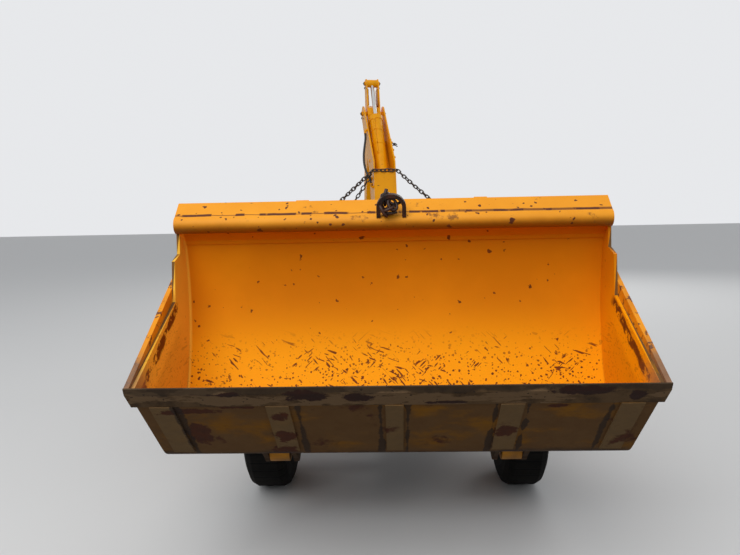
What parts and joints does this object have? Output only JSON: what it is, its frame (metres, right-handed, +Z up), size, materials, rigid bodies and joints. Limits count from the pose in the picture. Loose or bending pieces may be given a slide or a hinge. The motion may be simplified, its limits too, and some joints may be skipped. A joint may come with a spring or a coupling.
{
  "type": "backhoe loader",
  "caption": "Open-station backhoe loader: front bucket on lift arms, rear digging arm folded for travel, raised stabilizer legs, steered front wheels.",
  "frame": {"origin": "on the ground, midway between the rear wheels and under their axle", "axes": "+Z up, -Y towards the loader bucket, +Y towards the backhoe, +X to the machine's left"},
  "size_m": [2.2256, 6.432, 3.191],
  "materials": {
    "paint": "satin",
    "rim_paint": "satin",
    "dark_paint": "satin",
    "engine_iron": "rough",
    "worn_steel": "rough",
    "chrome": "polished",
    "tyre": "matte",
    "black_plastic": "matte",
    "seat_cover": "matte"
  },
  "bodies": {
    "chassis": {"chassis_frame": "paint", "loader_towers": "paint", "front_axle": "engine_iron", "rear_axle": "engine_iron", "engine": "engine_iron", "hood": "paint", "radiator": "engine_iron", "grille": "paint", "platform": "paint", "console": "dark_paint", "steering_wheel": "black_plastic", "seat_pedestal": "dark_paint", "hoe_controls": "dark_paint", "side_tanks": "paint", "exhaust": "dark_paint", "hoe_frame": "paint", "swing_bracket": "paint"},
    "knuckle_left": {"steering_knuckle_left": "engine_iron"},
    "knuckle_right": {"steering_knuckle_right": "engine_iron"},
    "tie_rod": {"tie_rod": "dark_paint"},
    "front_wheel_left": {"front_tyre_left": "tyre", "front_rim_left": "rim_paint"},
    "front_wheel_right": {"front_tyre_right": "tyre", "front_rim_right": "rim_paint"},
    "rear_wheel_left": {"rear_tyre_left": "tyre", "rear_rim_left": "rim_paint"},
    "rear_wheel_right": {"rear_tyre_right": "tyre", "rear_rim_right": "rim_paint"},
    "seat": {"seat": "seat_cover"},
    "loader_arms": {"loader_arms": "paint"},
    "lift_barrels": {"lift_barrels": "paint"},
    "lift_rods": {"lift_rods": "chrome"},
    "tilt_barrels": {"tilt_barrels": "paint"},
    "tilt_rods": {"tilt_rods": "chrome"},
    "loader_bucket": {"loader_bucket": "paint", "cutting_edge": "worn_steel", "lifting_eye": "paint"},
    "swing_post": {"swing_post": "paint"},
    "boom": {"boom": "paint", "tie_chain": "worn_steel"},
    "boom_barrel": {"boom_barrel": "paint"},
    "boom_rod": {"boom_rod": "chrome"},
    "dipper": {"dipper": "paint"},
    "dipper_barrel": {"dipper_barrel": "paint"},
    "dipper_rod": {"dipper_rod": "chrome"},
    "hoe_bucket": {"hoe_bucket": "paint"},
    "bucket_idler": {"bucket_idler": "paint"},
    "bucket_link": {"bucket_link": "paint"},
    "curl_barrel": {"curl_barrel": "paint"},
    "curl_rod": {"curl_rod": "chrome"},
    "stabilizer_left": {"stabilizer_left": "paint"},
    "stabilizer_right": {"stabilizer_right": "paint"},
    "stabilizer_barrel_left": {"stabilizer_barrel_left": "paint"},
    "stabilizer_barrel_right": {"stabilizer_barrel_right": "paint"},
    "stabilizer_rod_left": {"stabilizer_rod_left": "chrome"},
    "stabilizer_rod_right": {"stabilizer_rod_right": "chrome"}
  },
  "joints": [
    {"name": "steer_left", "type": "hinge", "parent": "chassis", "child": "knuckle_left", "pos_m": [0.59, -2.05, 0.42], "axis": [0, 0, 1], "range_deg": [-28, 28]},
    {"name": "steer_right", "type": "hinge", "parent": "chassis", "child": "knuckle_right", "pos_m": [-0.59, -2.05, 0.42], "axis": [0, 0, 1], "range_deg": [-28, 28]},
    {"name": "tie_rod_slide", "type": "slide", "parent": "chassis", "child": "tie_rod", "axis": [1, 0, 0], "range_m": [-0.08, 0.08]},
    {"name": "front_wheel_spin_left", "type": "hinge", "parent": "knuckle_left", "child": "front_wheel_left", "pos_m": [0.72, -2.05, 0.42], "axis": [1, 0, 0], "continuous": true},
    {"name": "rear_wheel_spin_left", "type": "hinge", "parent": "chassis", "child": "rear_wheel_left", "pos_m": [0.75, 0, 0.7], "axis": [1, 0, 0], "continuous": true},
    {"name": "front_wheel_spin_right", "type": "hinge", "parent": "knuckle_right", "child": "front_wheel_right", "pos_m": [-0.72, -2.05, 0.42], "axis": [1, 0, 0], "continuous": true},
    {"name": "rear_wheel_spin_right", "type": "hinge", "parent": "chassis", "child": "rear_wheel_right", "pos_m": [-0.75, 0, 0.7], "axis": [1, 0, 0], "continuous": true},
    {"name": "seat_swivel", "type": "hinge", "parent": "chassis", "child": "seat", "pos_m": [0, 0.09, 1.13], "axis": [0, 0, 1], "range_deg": [0, 180]},
    {"name": "arm_lift", "type": "hinge", "parent": "chassis", "child": "loader_arms", "pos_m": [0, -0.9, 1.3], "axis": [-1, 0, 0], "range_deg": [-11.3, 68]},
    {"name": "lift_barrel_swing", "type": "hinge", "parent": "chassis", "child": "lift_barrels", "pos_m": [0, -0.87, 0.545], "axis": [-1, 0, 0], "range_deg": [-7.2, 43.3]},
    {"name": "lift_rod_slide", "type": "slide", "parent": "lift_barrels", "child": "lift_rods", "axis": [0, -0.8878, 0.4603], "range_m": [-0.0974, 0.5859]},
    {"name": "bucket_tilt", "type": "hinge", "parent": "loader_arms", "child": "loader_bucket", "pos_m": [0, -2.957, 0.521], "axis": [1, 0, 0], "range_deg": [0, 88]},
    {"name": "tilt_barrel_swing", "type": "hinge", "parent": "loader_arms", "child": "tilt_barrels", "pos_m": [0, -1.8, 1.4], "axis": [1, 0, 0], "range_deg": [-7.03, 0]},
    {"name": "tilt_rod_slide", "type": "slide", "parent": "tilt_barrels", "child": "tilt_rods", "axis": [0, -0.8822, -0.4709], "range_m": [0, 0.516]},
    {"name": "hoe_swing", "type": "hinge", "parent": "chassis", "child": "swing_post", "pos_m": [0, 1.3, 0.7], "axis": [0, 0, 1], "range_deg": [-102, 78]},
    {"name": "boom_lower", "type": "hinge", "parent": "swing_post", "child": "boom", "pos_m": [-0.0499, 1.53476, 0.85], "axis": [-0.9781, -0.2079, 0], "range_deg": [0, 95], "deforming": ["tie_chain"]},
    {"name": "boom_barrel_swing", "type": "hinge", "parent": "swing_post", "child": "boom_barrel", "pos_m": [-0.07693, 1.66192, 0.59], "axis": [-0.9781, -0.2079, 0], "range_deg": [0, 82.62]},
    {"name": "boom_rod_slide", "type": "slide", "parent": "boom_barrel", "child": "boom_rod", "axis": [-0.0047, 0.022, 0.9997], "range_m": [-0.3822, 0]},
    {"name": "dipper_reach", "type": "hinge", "parent": "boom", "child": "dipper", "pos_m": [-0.19752, 2.22924, 2.781], "axis": [0.9781, 0.2079, 0], "range_deg": [0, 85]},
    {"name": "dipper_barrel_swing", "type": "hinge", "parent": "boom", "child": "dipper_barrel", "pos_m": [-0.0894, 1.7206, 1.99], "axis": [0.9781, 0.2079, 0], "range_deg": [0, 18.24]},
    {"name": "dipper_rod_slide", "type": "slide", "parent": "dipper_barrel", "child": "dipper_rod", "axis": [-0.0923, 0.4341, 0.8961], "range_m": [-0.3757, 0]},
    {"name": "hoe_bucket_open", "type": "hinge", "parent": "dipper", "child": "hoe_bucket", "pos_m": [-0.25989, 2.52269, 1.35], "axis": [0.9781, 0.2079, 0], "range_deg": [-80, 65]},
    {"name": "idler_swing", "type": "hinge", "parent": "dipper", "child": "bucket_idler", "pos_m": [-0.24538, 2.45445, 1.68277], "axis": [0.9781, 0.2079, 0], "range_deg": [-48.6, 39.49]},
    {"name": "link_swing", "type": "hinge", "parent": "bucket_idler", "child": "bucket_link", "pos_m": [-0.31333, 2.7741, 1.65467], "axis": [0.9781, 0.2079, 0], "range_deg": [-36.33, 44.71]},
    {"name": "curl_barrel_swing", "type": "hinge", "parent": "dipper", "child": "curl_barrel", "pos_m": [-0.23102, 2.38685, 2.79219], "axis": [0.9781, 0.2079, 0], "range_deg": [-5.86, 4.76]},
    {"name": "curl_rod_slide", "type": "slide", "parent": "curl_barrel", "child": "curl_rod", "axis": [-0.0683, 0.3215, -0.9444], "range_m": [-0.1888, 0.2324]},
    {"name": "stabilizer_lower_left", "type": "hinge", "parent": "chassis", "child": "stabilizer_left", "pos_m": [0.56, 0.9, 0.47], "axis": [0, 1, 0], "range_deg": [0, 85]},
    {"name": "stabilizer_barrel_swing_left", "type": "hinge", "parent": "chassis", "child": "stabilizer_barrel_left", "pos_m": [0.3, 0.9, 1.15], "axis": [0, 1, 0], "range_deg": [0, 10.12]},
    {"name": "stabilizer_rod_slide_left", "type": "slide", "parent": "stabilizer_barrel_left", "child": "stabilizer_rod_left", "axis": [0.701, 0, -0.7132], "range_m": [0, 0.4141]},
    {"name": "stabilizer_lower_right", "type": "hinge", "parent": "chassis", "child": "stabilizer_right", "pos_m": [-0.56, 0.9, 0.47], "axis": [0, -1, 0], "range_deg": [0, 85]},
    {"name": "stabilizer_barrel_swing_right", "type": "hinge", "parent": "chassis", "child": "stabilizer_barrel_right", "pos_m": [-0.3, 0.9, 1.15], "axis": [0, -1, 0], "range_deg": [0, 10.12]},
    {"name": "stabilizer_rod_slide_right", "type": "slide", "parent": "stabilizer_barrel_right", "child": "stabilizer_rod_right", "axis": [-0.701, 0, -0.7132], "range_m": [0, 0.4141]}
  ],
  "couplings": [
    {"joint": "steer_left", "follows": "steer_right", "ratio": 1},
    {"joint": "tie_rod_slide", "follows": "steer_right", "m_per_rad": -0.143},
    {"joint": "lift_barrel_swing", "follows": "arm_lift", "ratio": 0.6367},
    {"joint": "lift_rod_slide", "follows": "arm_lift", "m_per_rad": 0.4936},
    {"joint": "tilt_barrel_swing", "follows": "bucket_tilt", "ratio": -0.0798},
    {"joint": "tilt_rod_slide", "follows": "bucket_tilt", "m_per_rad": 0.3359},
    {"joint": "boom_barrel_swing", "follows": "boom_lower", "ratio": 0.8696},
    {"joint": "boom_rod_slide", "follows": "boom_lower", "m_per_rad": -0.2305},
    {"joint": "dipper_barrel_swing", "follows": "dipper_reach", "ratio": 0.2145},
    {"joint": "dipper_rod_slide", "follows": "dipper_reach", "m_per_rad": -0.2532},
    {"joint": "idler_swing", "follows": "hoe_bucket_open", "ratio": 0.6074},
    {"joint": "link_swing", "follows": "hoe_bucket_open", "ratio": -0.5588},
    {"joint": "curl_barrel_swing", "follows": "hoe_bucket_open", "ratio": 0.0732},
    {"joint": "curl_rod_slide", "follows": "hoe_bucket_open", "m_per_rad": -0.1664},
    {"joint": "stabilizer_barrel_swing_left", "follows": "stabilizer_lower_left", "ratio": 0.119},
    {"joint": "stabilizer_rod_slide_left", "follows": "stabilizer_lower_left", "m_per_rad": 0.2791},
    {"joint": "stabilizer_barrel_swing_right", "follows": "stabilizer_lower_right", "ratio": 0.119},
    {"joint": "stabilizer_rod_slide_right", "follows": "stabilizer_lower_right", "m_per_rad": 0.2791}
  ]
}
